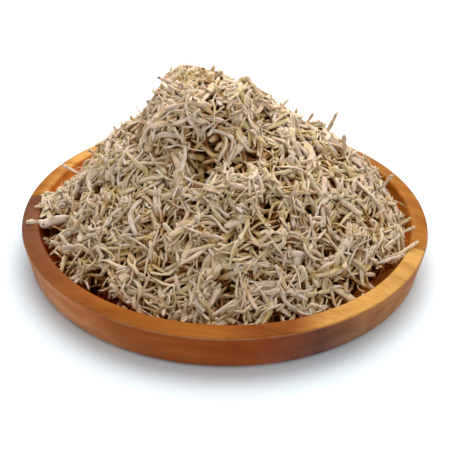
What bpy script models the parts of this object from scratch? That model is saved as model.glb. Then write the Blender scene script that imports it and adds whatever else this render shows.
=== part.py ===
"""A round wooden plate heaped with small dried anchovies.

Metres, +Z up. The origin is the middle of the plate's underside, and the
plate's front is towards -Y.
"""

import math
import random

import bmesh
import bpy
from mathutils import Matrix, Vector, noise

# Plate, a shallow turned dish
PLATE_RADIUS = 0.125
PLATE_HEIGHT = 0.026
LIP_WIDTH = 0.0105
LIP_FALL = 0.0017
LIP_ROUND = 0.0015
LIP_EASE = 0.0018
BASE_RADIUS = 0.1165
BASE_ROUND = 0.005
WALL_LEAN = 0.0035
FLOOR_THICKNESS = 0.009
COVE_WIDTH = 0.0105
PLATE_SEGMENTS = 72
COVE_STEPS = 5
EASE_STEPS = 2
ROUND_STEPS = 3
MERGE_DISTANCE = 0.00005

# Heap, a bell with a blunt summit left of its middle
FOOT_RADIUS = 0.112
FOOT_HEIGHT = 0.021
BELL_RISE = 0.072
BELL_SHIFT = 0.003
MOUND_BLEND = 0.006
SLOPE_STEP = 0.002
# Each mound: x, y, reach along X, reach along Y, fall at its reach, top height, steepness power
SUMMIT_MOUND = (-0.0200, 0.002, 0.031, 0.040, 0.027, 0.117, 3)
CENTRE_MOUND = (0.001, 0.004, 0.026, 0.037, 0.027, 0.1102, 3)
RIGHT_MOUND = (0.032, 0.006, 0.022, 0.026, 0.014, 0.091, 2)
LEFT_MOUND = (-0.053, 0.001, 0.021, 0.034, 0.012, 0.080, 2)
LEFT_FOOT_MOUND = (-0.103, 0.006, 0.013, 0.024, 0.012, 0.034, 2)
MOUNDS = (SUMMIT_MOUND, CENTRE_MOUND, RIGHT_MOUND, LEFT_MOUND, LEFT_FOOT_MOUND)
# Each dip: x, y, reach, depth
CLEFT_DIP = (-0.0145, -0.0375, 0.0095, 0.0085)
BACK_FOOT_DIP = (-0.088, 0.066, 0.017, 0.007)
DIPS = (CLEFT_DIP, BACK_FOOT_DIP)
DIP_SHARPNESS = 1.4

# Core of the heap, under the fish that show
CORE_RADIUS = 0.110
CORE_UNDERCUT = 0.001
CORE_DEPTH = 0.0022
CORE_SEGMENTS = 36
CORE_RINGS = 16
CORE_UNDER_STEPS = 4
BUMP_HEIGHT = 0.0012
BUMP_SIZE = 0.012
NODE_GAP = 0.0005

# Anchovies, fused to the core where they lie
FISH_COUNT = 205
FISH_LENGTH = (0.015, 0.025)
FISH_WIDTH = (0.0026, 0.0037)
FISH_TILT = math.radians(12)
STRAY_TILT = math.radians(34)
STRAY_EVERY = 6
FISH_BEND = math.radians(55)
FISH_SINK = 0.0002
FISH_SIDES = 4
SPREAD_RADIUS = 0.109
PLACE_TRIES = 6
TRY_SHRINK = 0.94
SEED = 11

# Fish that stand out of the outline: where each leaves the heap, its tip, body width
PLACED_FISH = (
    ((-0.0313, -0.0024, 0.1115), (-0.0316, -0.0024, 0.1242), 0.0024),
    ((-0.0985, -0.0120, 0.0290), (-0.1205, -0.0186, 0.0286), 0.0032),
    ((0.0950, -0.0400, 0.0290), (0.1153, -0.0332, 0.0286), 0.0028),
    ((0.0870, -0.0480, 0.0290), (0.1055, -0.0469, 0.0284), 0.0027),
)
PLACED_BEND = math.radians(14)

# Stations along one fish: share of its length, share of its half width
FISH_STATIONS = ((0.10, 0.72), (0.38, 1.0), (0.76, 0.55))

GOLDEN_ANGLE = math.pi * (3 - math.sqrt(5))


def clear_scene():
    """Remove every object that the scene starts with."""
    for item in list(bpy.data.objects):
        bpy.data.objects.remove(item, do_unlink=True)


def material(name, colour, roughness):
    """A plain Principled material."""
    made = bpy.data.materials.new(name)
    made.use_nodes = True
    shader = made.node_tree.nodes["Principled BSDF"]
    shader.inputs["Base Color"].default_value = (*colour, 1.0)
    shader.inputs["Roughness"].default_value = roughness
    shader.inputs["Metallic"].default_value = 0.0
    return made


def new_object(name, points, edges, faces):
    """An object in the scene's collection, from plain lists."""
    mesh = bpy.data.meshes.new(name)
    mesh.from_pydata(points, edges, faces)
    made = bpy.data.objects.new(name, mesh)
    bpy.context.scene.collection.objects.link(made)
    return made


def arc(centre, radii, start, end, steps):
    """Points on an elliptical arc, angles in degrees from +X towards +Z."""
    points = []
    for step in range(steps + 1):
        angle = math.radians(start + (end - start) * step / steps)
        x = centre[0] + radii[0] * math.cos(angle)
        z = centre[1] + radii[1] * math.sin(angle)
        points.append((x, 0.0, z))
    return points


def plate_profile():
    """Half outline of the plate, from the floor's middle over the lip to the base."""
    lip_inner = PLATE_RADIUS - LIP_WIDTH
    edge_top = PLATE_HEIGHT - LIP_FALL
    cove_height = PLATE_HEIGHT - LIP_EASE - FLOOR_THICKNESS
    cove = (lip_inner - COVE_WIDTH, FLOOR_THICKNESS + cove_height)
    edge = (PLATE_RADIUS - LIP_ROUND, edge_top - LIP_ROUND)
    foot = (BASE_RADIUS, BASE_ROUND)
    lean = (PLATE_RADIUS - WALL_LEAN - BASE_RADIUS, BASE_ROUND)
    points = [(0.0, 0.0, FLOOR_THICKNESS)]
    points += arc(cove, (COVE_WIDTH, cove_height), -90, 0, COVE_STEPS)
    ease = (lip_inner + LIP_EASE, PLATE_HEIGHT - LIP_EASE)
    points += arc(ease, (LIP_EASE, LIP_EASE), 180, 90, EASE_STEPS)[1:]
    points += arc(edge, (LIP_ROUND, LIP_ROUND), 90, 0, ROUND_STEPS)
    points += arc(foot, lean, 0, -90, ROUND_STEPS)
    points += [(0.0, 0.0, 0.0)]
    return points


def build_plate():
    """The plate, turned about its axis."""
    points = plate_profile()
    edges = [(i, i + 1) for i in range(len(points) - 1)]
    plate = new_object("plate", points, edges, [])
    turn = plate.modifiers.new("Turn", "SCREW")
    turn.axis = "Z"
    turn.angle = math.tau
    turn.steps = PLATE_SEGMENTS
    turn.render_steps = PLATE_SEGMENTS
    turn.use_merge_vertices = True
    turn.merge_threshold = MERGE_DISTANCE
    turn.use_smooth_shade = True
    plate.data.materials.append(material("oiled_wood", (0.45, 0.19, 0.06), 0.4))
    return plate


def plate_inside_height(radius):
    """Height of the plate's upper surface at a distance from its axis."""
    lip_inner = PLATE_RADIUS - LIP_WIDTH
    start = lip_inner - COVE_WIDTH
    if radius <= start:
        return FLOOR_THICKNESS
    if radius >= lip_inner:
        return PLATE_HEIGHT
    share = (radius - start) / COVE_WIDTH
    cove_height = PLATE_HEIGHT - LIP_EASE - FLOOR_THICKNESS
    return FLOOR_THICKNESS + cove_height * (1 - math.sqrt(1 - share * share))


def blend(first, second, width):
    """The higher of two heights, with a soft change between them."""
    near = max(width - abs(first - second), 0.0) / width
    return max(first, second) + near * near * width / 4


def heap_height(x, y):
    """Height of the heap's surface over the plate's underside."""
    radius = math.hypot(x, y)
    shift = BELL_SHIFT * (1 - min(1.0, radius / FOOT_RADIUS) ** 3)
    out = ((x - shift) ** 2 + y * y) / FOOT_RADIUS ** 2
    height = FOOT_HEIGHT + BELL_RISE * (1 - out)
    for mid_x, mid_y, reach_x, reach_y, fall, top, power in MOUNDS:
        away = math.hypot((x - mid_x) / reach_x, (y - mid_y) / reach_y)
        height = blend(height, top - fall * away ** power, MOUND_BLEND)
    for mid_x, mid_y, reach, drop in DIPS:
        away = math.hypot(x - mid_x, y - mid_y) / reach
        height -= drop * math.exp(-DIP_SHARPNESS * away * away)
    return height


def heap_normal(x, y):
    """Outward normal of the heap's surface."""
    rise_x = heap_height(x + SLOPE_STEP, y) - heap_height(x - SLOPE_STEP, y)
    rise_y = heap_height(x, y + SLOPE_STEP) - heap_height(x, y - SLOPE_STEP)
    return Vector((-rise_x, -rise_y, 2 * SLOPE_STEP)).normalized()


def core_point(radius, angle):
    """A point of the core's bumpy upper surface."""
    x = radius * math.cos(angle)
    y = radius * math.sin(angle)
    bump = BUMP_HEIGHT * noise.noise(Vector((x, y, 0.0)) / BUMP_SIZE)
    return Vector((x, y, heap_height(x, y) - CORE_DEPTH + bump))


def build_core():
    """The heap's closed core: a bumpy top and an underside clear of the plate."""
    rings = []
    for ring in range(1, CORE_RINGS + 1):
        radius = CORE_RADIUS * ring / CORE_RINGS
        rings.append([core_point(radius, math.tau * k / CORE_SEGMENTS) for k in range(CORE_SEGMENTS)])
    inner = PLATE_RADIUS - LIP_WIDTH - COVE_WIDTH
    outer = CORE_RADIUS - CORE_UNDERCUT
    for step in range(CORE_UNDER_STEPS + 1):
        radius = outer - (outer - inner) * step / CORE_UNDER_STEPS
        height = plate_inside_height(radius + NODE_GAP) + NODE_GAP
        ring = []
        for k in range(CORE_SEGMENTS):
            angle = math.tau * k / CORE_SEGMENTS
            ring.append(Vector((radius * math.cos(angle), radius * math.sin(angle), height)))
        rings.append(ring)
    points = [core_point(0.0, 0.0)]
    for ring in rings:
        points += ring
    points.append(Vector((0.0, 0.0, FLOOR_THICKNESS + NODE_GAP)))
    faces = []
    for k in range(CORE_SEGMENTS):
        after = (k + 1) % CORE_SEGMENTS
        faces.append((0, 1 + k, 1 + after))
        for ring in range(len(rings) - 1):
            low = 1 + ring * CORE_SEGMENTS
            high = low + CORE_SEGMENTS
            faces.append((low + k, high + k, high + after, low + after))
        last = 1 + (len(rings) - 1) * CORE_SEGMENTS
        faces.append((last + k, len(points) - 1, last + after))
    return new_object("anchovy_heap", points, [], faces)


def fish_points(middle, along, side, up, length, width, bend):
    """Points of one bent fish: nose, rings, tail tip."""
    def spine(share):
        turn = bend * (share - 0.5)
        reach = length * (share - 0.5)
        return middle + along * (reach * math.cos(turn / 2)) + side * (reach * math.sin(turn / 2))

    points = [spine(0.0)]
    for share, girth in FISH_STATIONS:
        turn = bend * (share - 0.5)
        across = side * math.cos(turn) - along * math.sin(turn)
        for k in range(FISH_SIDES):
            angle = math.tau * (k + 0.5) / FISH_SIDES
            offset = across * math.cos(angle) + up * math.sin(angle)
            points.append(spine(share) + offset * (girth * width / 2 * math.sqrt(2)))
    points.append(spine(1.0))
    return points


def fish_faces():
    """Faces of one fish, matching fish_points."""
    tail = 1 + len(FISH_STATIONS) * FISH_SIDES
    faces = []
    for k in range(FISH_SIDES):
        after = (k + 1) % FISH_SIDES
        faces.append((0, 1 + after, 1 + k))
        for ring in range(len(FISH_STATIONS) - 1):
            low = 1 + ring * FISH_SIDES
            high = low + FISH_SIDES
            faces.append((low + k, low + after, high + after, high + k))
        last = tail - FISH_SIDES
        faces.append((last + k, last + after, tail))
    return faces


def clear_of_plate(points):
    """Whether every point stays inside the rim and clear of the wood."""
    for point in points:
        radius = math.hypot(point.x, point.y)
        if radius > PLATE_RADIUS - LIP_ROUND:
            return False
        if point.z < plate_inside_height(radius + NODE_GAP) + NODE_GAP:
            return False
    return True


def keep_fish(points, collection):
    """Add one fish to the collection that is joined to the core."""
    fish = new_object("anchovy", points, [], fish_faces())
    bpy.context.scene.collection.objects.unlink(fish)
    collection.objects.link(fish)


def build_fish(draw, index, length, collection):
    """One fish at its evenly spread place, turned and shortened until it clears the plate."""
    radius = SPREAD_RADIUS * math.sqrt((index + 0.5) / FISH_COUNT)
    angle = GOLDEN_ANGLE * index
    x = radius * math.cos(angle)
    y = radius * math.sin(angle)
    width = draw.uniform(*FISH_WIDTH)
    normal = heap_normal(x, y)
    middle = Vector((x, y, heap_height(x, y))) - normal * (CORE_DEPTH - width / 2 + FISH_SINK)
    for attempt in range(PLACE_TRIES):
        heading = draw.uniform(0.0, math.tau)
        tilt = draw.uniform(-FISH_TILT, FISH_TILT)
        if index % STRAY_EVERY == 0:
            tilt = math.copysign(STRAY_TILT, tilt)
        bend = draw.uniform(-FISH_BEND, FISH_BEND)
        along = Matrix.Rotation(heading, 3, normal) @ normal.orthogonal().normalized()
        side = normal.cross(along).normalized()
        along = Matrix.Rotation(tilt, 3, side) @ along
        up = along.cross(side).normalized()
        reach = length * TRY_SHRINK ** attempt
        points = fish_points(middle, along, side, up, reach, width, bend)
        if clear_of_plate(points):
            keep_fish(points, collection)
            return


def build_placed_fish(root, tip, width, collection):
    """One fish from the place where it leaves the heap to its tip."""
    root = Vector(root)
    tip = Vector(tip)
    along = (tip - root).normalized()
    side = along.orthogonal().normalized()
    up = along.cross(side).normalized()
    middle = (root + tip) / 2
    length = (tip - root).length
    keep_fish(fish_points(middle, along, side, up, length, width, PLACED_BEND), collection)


def face_out(target):
    """Turn every face of a closed mesh outwards."""
    shape = bmesh.new()
    shape.from_mesh(target.data)
    bmesh.ops.recalc_face_normals(shape, faces=shape.faces)
    shape.to_mesh(target.data)
    shape.free()


def keep_largest(mesh):
    """Keep the outer skin: drop loose scraps and the skins of sealed hollows."""
    shape = bmesh.new()
    shape.from_mesh(mesh)
    groups = []
    seen = set()
    for start in shape.verts:
        if start in seen:
            continue
        group = []
        waiting = [start]
        seen.add(start)
        while waiting:
            vertex = waiting.pop()
            group.append(vertex)
            for edge in vertex.link_edges:
                other = edge.other_vert(vertex)
                if other not in seen:
                    seen.add(other)
                    waiting.append(other)
        groups.append(group)
    groups.sort(key=len, reverse=True)
    for group in groups[1:]:
        bmesh.ops.delete(shape, geom=group, context="VERTS")
    bmesh.ops.triangulate(shape, faces=shape.faces)
    shape.to_mesh(mesh)
    shape.free()


def build_heap():
    """The heap: its core with the fish that show, joined into one solid."""
    core = build_core()
    face_out(core)
    draw = random.Random(SEED)
    lengths = sorted((draw.uniform(*FISH_LENGTH) for _ in range(FISH_COUNT)), reverse=True)
    places = list(range(FISH_COUNT))
    draw.shuffle(places)
    collection = bpy.data.collections.new("anchovies")
    bpy.context.scene.collection.children.link(collection)
    for index, length in zip(places, lengths):
        build_fish(draw, index, length, collection)
    for root, tip, width in PLACED_FISH:
        build_placed_fish(root, tip, width, collection)
    for fish in collection.objects:
        face_out(fish)
    join = core.modifiers.new("Join", "BOOLEAN")
    join.operation = "UNION"
    join.operand_type = "COLLECTION"
    join.collection = collection
    join.solver = "EXACT"
    depsgraph = bpy.context.evaluated_depsgraph_get()
    joined = bpy.data.meshes.new_from_object(core.evaluated_get(depsgraph))
    core.modifiers.clear()
    core.data = joined
    for fish in list(collection.objects):
        bpy.data.objects.remove(fish, do_unlink=True)
    bpy.data.collections.remove(collection)
    keep_largest(core.data)
    core.data.materials.clear()
    core.data.materials.append(material("dried_anchovy", (0.56, 0.46, 0.31), 0.6))
    return core


def main():
    clear_scene()
    build_plate()
    build_heap()


main()
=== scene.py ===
"""A round wooden plate heaped with small dried anchovies.

Laid out as an add-on: the settings hold the sizes and colours, one operator
makes each piece or group of like pieces, and main() calls them in order.
Metres, +Z up, the plate's front towards -Y.
"""

import math
from itertools import product

import bpy
import numpy as np
from bpy.props import FloatProperty, FloatVectorProperty, IntProperty, PointerProperty
from mathutils import Matrix, Vector


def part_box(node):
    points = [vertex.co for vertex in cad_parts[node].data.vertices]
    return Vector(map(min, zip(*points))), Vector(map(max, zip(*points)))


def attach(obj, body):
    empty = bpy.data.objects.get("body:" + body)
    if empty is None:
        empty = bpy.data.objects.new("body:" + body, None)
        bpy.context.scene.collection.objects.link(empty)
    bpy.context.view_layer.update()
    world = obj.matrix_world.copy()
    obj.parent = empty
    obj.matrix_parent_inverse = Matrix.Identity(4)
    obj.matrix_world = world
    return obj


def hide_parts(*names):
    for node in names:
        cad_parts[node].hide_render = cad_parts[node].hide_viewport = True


bl_info = {
    "name": "Anchovy Dish",
    "version": (1, 0, 0),
    "blender": (4, 5, 0),
    "location": "View3D > Sidebar > Anchovy Dish",
    "description": "Turns a wooden plate and heaps it with small dried anchovies",
    "category": "Object",
}

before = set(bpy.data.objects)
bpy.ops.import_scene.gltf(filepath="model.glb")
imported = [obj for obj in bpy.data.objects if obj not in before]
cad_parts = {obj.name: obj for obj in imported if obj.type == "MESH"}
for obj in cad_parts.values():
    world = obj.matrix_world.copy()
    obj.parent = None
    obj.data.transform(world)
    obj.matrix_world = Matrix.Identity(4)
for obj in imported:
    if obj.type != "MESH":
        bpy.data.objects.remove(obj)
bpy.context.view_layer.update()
PLATE_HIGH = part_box("plate")[1]

# Plate, in the proportions of its solid
PLATE_RADIUS = PLATE_HIGH.x
PLATE_HEIGHT = PLATE_HIGH.z
LIP_WIDTH = 0.0105
LIP_FALL = 0.0017
LIP_EASE = 0.0018
BASE_RADIUS = 0.1165
BASE_ROUND = 0.005
WALL_LEAN = 0.0035
FLOOR_THICKNESS = 0.009
COVE_WIDTH = 0.0105

# Heap, a bell with a blunt summit left of its middle
FOOT_RADIUS = 0.112
FOOT_SPREAD = 0.0015
FOOT_HEIGHT = 0.021
BELL_RISE = 0.072
BELL_SHIFT = 0.003
MOUND_BLEND = 0.006
# Each mound: x, y, reach along X, reach along Y, fall at its reach, top height, steepness power
SUMMIT_MOUND = (-0.0200, 0.002, 0.031, 0.040, 0.027, 0.117, 3)
CENTRE_MOUND = (0.001, 0.004, 0.026, 0.037, 0.027, 0.1102, 3)
RIGHT_MOUND = (0.032, 0.006, 0.022, 0.026, 0.014, 0.091, 2)
LEFT_MOUND = (-0.053, 0.001, 0.021, 0.034, 0.012, 0.080, 2)
LEFT_FOOT_MOUND = (-0.103, 0.006, 0.013, 0.024, 0.012, 0.034, 2)
MOUNDS = (SUMMIT_MOUND, CENTRE_MOUND, RIGHT_MOUND, LEFT_MOUND, LEFT_FOOT_MOUND)
# Each dip: x, y, reach, depth
CLEFT_DIP = (-0.0145, -0.0375, 0.0095, 0.0085)
BACK_FOOT_DIP = (-0.088, 0.066, 0.017, 0.007)
DIPS = (CLEFT_DIP, BACK_FOOT_DIP)
DIP_SHARPNESS = 1.4
# Where the foot spreads wider or stays narrower: angle in degrees, half angle, change of radius
FOOT_SWELLS = (
    (174, 20, 0.0040), (143, 14, -0.0030), (-165, 9, -0.0110), (-150, 7, -0.0040),
    (-131, 8, -0.0100), (-36, 11, -0.0080), (-119, 4, -0.0040), (31, 15, -0.0050),
)

# The dark core ends short of the heap's foot
CORE_INSET = 0.0080
CORE_REACH = 0.1060
CORE_RINGS = 70
CORE_SEGMENTS = 144
CORE_UNEVEN = 0.0006
CORE_LUMP = 0.0022
CORE_OFF_PLATE = 0.0008
CORE_SKIN = 0.0006

# Grid on which the heap's form is kept while the fish settle
FIELD_REACH = 0.128
FIELD_CELLS = 320


def in_metres(rows):
    """Rows of whole tenths of a millimetre, in metres."""
    return tuple(tuple(value / 10000 for value in row) for row in rows)


# Hollows of the heap, in tenths of a millimetre: x, y, reach in plan, drop in height
HOLLOWS = in_metres((
    (-140, -345, 68, 100), (-195, -405, 52, 88), (-120, -430, 40, 70), (-156, -488, 56, 90),
    (-147, -204, 48, 38), (-301, -157, 52, 40), (-108, -290, 56, 94), (-10, -225, 54, 84),
    (105, -179, 44, 52), (206, -130, 44, 48), (-310, -4, 42, 34), (-131, -44, 42, 34),
    (75, -433, 44, 80), (285, -526, 46, 88), (336, -410, 44, 74), (480, -500, 42, 70),
    (-392, -375, 44, 80), (-290, -364, 46, 78), (-360, -741, 52, 90), (-457, -728, 52, 85),
    (-430, -623, 48, 80), (-306, -663, 50, 88), (419, -636, 52, 92), (532, -564, 46, 80),
    (-1, -962, 60, 95), (-52, -989, 44, 80), (-109, -874, 48, 84), (-150, -915, 44, 72),
    (-220, -943, 46, 74), (640, -606, 52, 86), (722, -696, 58, 84), (273, -812, 48, 78),
    (346, -827, 42, 68), (289, -704, 38, 60), (124, -811, 48, 80), (63, -722, 44, 74),
    (-466, -960, 44, 56), (-379, -945, 52, 74), (-573, -740, 46, 70), (-790, -400, 46, 66),
    (-877, -458, 46, 60), (-640, -291, 40, 60), (-914, -555, 42, 50), (-658, -790, 40, 55),
    (-333, -847, 42, 64), (199, -1020, 52, 66), (800, -300, 44, 66), (731, -771, 44, 66),
    (622, -479, 46, 70), (441, -12, 42, 60), (555, -697, 42, 64),
))
# How many more there are behind, out to which radius, and from where: y, or x either way
HOLLOWS_BEHIND = 52
BEHIND_RADIUS = 0.104
BEHIND_FROM = -0.015
BESIDE_FROM = 0.085
HOLLOW_SHARPNESS = 1.4

# Shade on the skins: depth under the even form and under neighbours at which it starts,
# how much further it is full, and how high a neighbour counts
OPEN_DEPTH = 0.0024
DARK_DEPTH = 0.0062
OPEN_COVER = 0.0016
DARK_COVER = 0.0054
COVER_TOP = 0.0010

# Fish that stand out of the outline, in tenths of a millimetre:
# where each leaves the heap, its tip, its body height
STRAYS = in_metres((
    (624, 251, 687, 675, 251, 833, 24), (725, 79, 642, 706, 79, 772, 28),
    (164, 57, 1043, 205, 57, 1108, 7), (851, 255, 491, 875, 255, 542, 24),
    (1004, 217, 332, 1052, 225, 415, 24), (1060, -174, 275, 1120, -174, 345, 20),
    (1050, -230, 270, 1150, -190, 290, 20), (1027, -450, 270, 1153, -332, 278, 24),
    (942, -535, 265, 1055, -469, 275, 23), (-1120, -160, 262, -1205, -192, 270, 36),
    (-1000, -195, 290, -1115, -240, 282, 60), (-1100, 0, 265, -1180, -29, 280, 22),
    (-1010, 420, 290, -1075, 470, 300, 24), (-262, -22, 1160, -285, -22, 1234, 8),
    (-283, 69, 1150, -309, 69, 1213, 8), (-313, -24, 1140, -318, -24, 1222, 9),
    (-345, 29, 1130, -412, 29, 1147, 24), (-166, 49, 1150, -137, 49, 1205, 23),
    (-201, 59, 1155, -184, 59, 1215, 12), (-84, 39, 1140, -61, 39, 1187, 20),
    (51, 194, 1050, 105, 194, 1081, 28), (-590, 40, 760, -643, 40, 783, 24),
    (-432, -91, 1020, -463, -91, 1056, 22), (-480, -97, 930, -514, -97, 959, 22),
    (351, 197, 900, 374, 197, 947, 18), (507, 331, 720, 536, 331, 783, 20),
    (-683, -2, 730, -718, -2, 756, 22), (-778, -34, 670, -825, -34, 690, 22),
    (244, 109, 965, 266, 109, 1014, 14), (910, 177, 445, 950, 177, 487, 22),
))
# How deep they are rooted, the body height of a whole fish, where they count as high up,
# the side that their flanks face, and how high any loose fish may reach
STRAY_ROOT = 0.0075
HEAD_OUT = 0.0018
HIGH_UP = 0.065
HIGH_SIDE = 0.030
FRONT = (0.0, -0.84, 0.54)
SUMMIT_LIMIT = 0.1198

# Spine of a settling fish: its points, the girth round its points and segments as shares of
# the middle one, how far contact reaches, and when and how firmly the fish move
SPINE_POINTS = 7
POINT_GIRTH = np.array([0.6, 0.9, 1.0, 0.92, 0.75, 0.52, 0.35])
SEGMENT_GIRTH = np.array([0.75, 1.0, 0.98, 0.85, 0.62, 0.42])
CONTACT_SHARE = 0.62
STEPS_PER_SEARCH = 6
NEAR_BODY = 0.0014
PUSH_FIRMNESS = 0.62
SHAPE_FIRMNESS = 0.75
LAST_FIRMNESS = 0.6

# Bodies from nose to tail: share of the length, of the full height, of the full thickness
BODY_STATIONS = (
    (0.000, 0.44, 0.42), (0.030, 0.70, 0.70), (0.085, 0.90, 0.92), (0.165, 0.98, 1.00),
    (0.225, 0.88, 0.80), (0.340, 0.96, 0.88), (0.480, 0.92, 0.82), (0.630, 0.82, 0.72),
    (0.780, 0.66, 0.58), (0.910, 0.56, 0.50), (1.000, 0.56, 0.34),
)
LOWER_STATIONS = (
    (0.00, 0.42, 0.40), (0.12, 0.94, 0.92), (0.40, 0.96, 0.88), (0.72, 0.74, 0.66),
    (1.00, 0.42, 0.30),
)
BIT_STATIONS = (
    (0.00, 0.40, 0.35), (0.12, 0.90, 0.85), (0.36, 1.00, 0.95), (0.62, 0.90, 0.80),
    (0.86, 0.66, 0.60), (1.00, 0.30, 0.22),
)
STRAND_STATIONS = (
    (0.00, 1.00, 1.00), (0.20, 0.95, 0.95), (0.45, 0.85, 0.85), (0.70, 0.65, 0.65),
    (0.90, 0.40, 0.40), (1.00, 0.12, 0.12),
)
BODY_SIDES = 8
LOWER_SIDES = 6
BIT_SIDES = 6
STRAND_SIDES = 4
EYE_PLACE = 0.085
# Length at which a fish's body is as high as the settings say
MIDDLING_LENGTH = 0.019
# Bits and strands wear the skin of a body's middle: where it starts and how far it goes
MIDDLE_START = 0.3
MIDDLE_SPAN = 0.6

# Where the lights look
LIT_POINT = (0.0, 0.0, 0.05)

# How fish are bent: usual spreads, and from which share of them on they are hooked or looped
BEND = math.radians(34)
HOOKED_FROM = 0.70
LOOPED_FROM = 0.965
WAVE = math.radians(17)
KINK = math.radians(26)
LIFT = math.radians(14)
KINK_LIFT = math.radians(10)

# How fish lie: their depth, the shares that follow the flow, point downhill and stick out,
# and how far they are tilted and rolled
LEAST_DEPTH = 0.0006
BED_MARGIN = 0.0018
DEPTH_BIAS = 1.45
FLOW_SHARE = 0.74
FLOW_PULL = 2.8
FLOW_SIZE = 0.016
DOWNHILL_SHARE = 0.28
DOWNHILL_PULL = 2.4
STICK_OUT_SHARE = 0.11
STICK_OUT_DEPTH = 0.005
TILT = math.radians(13)
ROLL = math.radians(28)
BODY_ROLL = math.radians(30)

# Kinds of fish, and the share that each kind has
KINDS = ("cream", "straw", "silver", "olive", "rose")
KIND_SHARES = (0.22, 0.20, 0.21, 0.16, 0.21)


def length_setting(name, description, default):
    return FloatProperty(name=name, description=description, default=default, unit="LENGTH")


def plain_setting(name, description, default):
    return FloatProperty(name=name, description=description, default=default)


def angle_setting(name, description, degrees):
    default = math.radians(degrees)
    return FloatProperty(name=name, description=description, default=default, subtype="ANGLE")


def count_setting(name, description, default, least=1):
    return IntProperty(name=name, description=description, default=default, min=least)


def colour_setting(name, description, default):
    return FloatVectorProperty(
        name=name, description=description, default=default, subtype="COLOR", size=3, min=0, max=1
    )


class PlateSettings(bpy.types.PropertyGroup):
    """Sizes and colours of the wooden plate."""

    segments: count_setting("Segments", "Steps round the turned plate", 240, 48)
    grain_turn: angle_setting("Grain turn", "Direction of the boards on the plate", -12.6)
    seam_offset: length_setting(
        "Seam offset", "How far the glued seam lies from the middle", -0.0108
    )
    honey: colour_setting("Honey wood", "Golden sapwood", (0.55, 0.262, 0.056))
    amber: colour_setting(
        "Amber wood", "Orange-brown middle of the front board", (0.236, 0.058, 0.002)
    )
    chestnut: colour_setting(
        "Chestnut wood", "Reddish heartwood of the front board", (0.175, 0.062, 0.025)
    )
    copper: colour_setting("Copper wood", "Orange wood of the back board", (0.348, 0.126, 0.0145))
    # The outer wall's russet is darker than the lip's wood partly by painted shade
    russet_and_shade: colour_setting("Russet wood", "Darker wood of the outer wall", (0.19, 0.038, 0.006))


class HeapSettings(bpy.types.PropertyGroup):
    """Form of the heap and how densely it is packed."""

    bed_depth: length_setting("Bed depth", "Depth of loose fish over the core", 0.0105)
    relief: length_setting("Relief", "Height of the heap's unevenness", 0.0042)
    relief_size: length_setting("Relief size", "Width of the heap's lumps and dips", 0.012)
    sinking: length_setting("Sinking", "How far a loose fish sinks in one settling step", 0.00005)
    # The core's colour is painted shade, the dark deep in the gaps between the fish
    painted_shade_colour: colour_setting(
        "Shaded fish", "Colour deep between the fish", (0.038, 0.013, 0.004)
    )


class FishSettings(bpy.types.PropertyGroup):
    """Number, sizes and colours of the anchovies."""

    count: count_setting("Fish", "Number of anchovies in the loose bed", 5500, 10)
    bits: count_setting("Bits", "Number of broken pieces", 420)
    strands: count_setting("Strands", "Number of fine loose strands", 560)
    shortest: length_setting("Shortest", "Length of the shortest anchovy", 0.0145)
    longest: length_setting("Longest", "Length of the longest anchovy", 0.0310)
    height: length_setting("Body height", "Height of a middling anchovy's body", 0.00268)
    height_spread: plain_setting("Height spread", "How far bodies differ in height", 0.27)
    thinness: plain_setting("Thinness", "Thickness of a body as a share of its height", 0.66)
    top_layer: length_setting(
        "Top layer", "Depth down to which bodies are made in full detail", 0.0056
    )
    settle_steps: count_setting(
        "Settling steps", "Steps in which the fish come to lie on each other", 34
    )
    seed: count_setting("Seed", "Seed of the fishes' random places", 7, 0)
    cream: colour_setting("Cream fish", "Cream-beige skin", (0.66, 0.500, 0.318))
    straw: colour_setting("Straw fish", "Yellowish dry skin", (0.60, 0.462, 0.258))
    silver: colour_setting("Silver fish", "Silver-lilac skin", (0.63, 0.495, 0.388))
    olive: colour_setting("Olive fish", "Olive-brown skin", (0.53, 0.412, 0.208))
    rose: colour_setting("Rose fish", "Pinkish skin", (0.66, 0.473, 0.330))


class StageSettings(bpy.types.PropertyGroup):
    """Floor, light and camera."""

    camera_x: length_setting("Camera X", "Camera place", 0.0)
    camera_y: length_setting("Camera Y", "Camera place", -0.583408)
    camera_z: length_setting("Camera Z", "Camera place", 0.386827)
    camera_tilt: angle_setting("Camera tilt", "Angle of the view below the horizon", 32.469)
    camera_roll: angle_setting("Camera roll", "Turn of the camera about its view", 1.1365)
    lens: plain_setting("Lens", "Focal length in millimetres", 88.309)
    key_power: plain_setting("Key light", "Power of the overhead light", 4.72)
    fill_power: plain_setting("Fill light", "Power of the front light", 2.25)
    sky: plain_setting("Sky", "Strength of the even light", 0.640)


def heap_settings():
    return bpy.context.scene.anchovy_heap


def fish_settings():
    return bpy.context.scene.anchovy_fish


def plate_settings():
    return bpy.context.scene.anchovy_plate


def stage_settings():
    return bpy.context.scene.anchovy_stage


def mesh_object(name, points, faces):
    """A smooth-shaded object from arrays of points and faces."""
    mesh = bpy.data.meshes.new(name)
    mesh.from_pydata(points, [], faces)
    mesh.polygons.foreach_set("use_smooth", np.ones(len(mesh.polygons), bool))
    made = bpy.data.objects.new(name, mesh)
    bpy.context.scene.collection.objects.link(made)
    return made


def add_to_part(piece, node):
    """Let a piece stand for a node of the part: the node is hidden and the piece hangs on the
    part's root.
    """
    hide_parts(node)
    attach(piece, "root")


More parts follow.
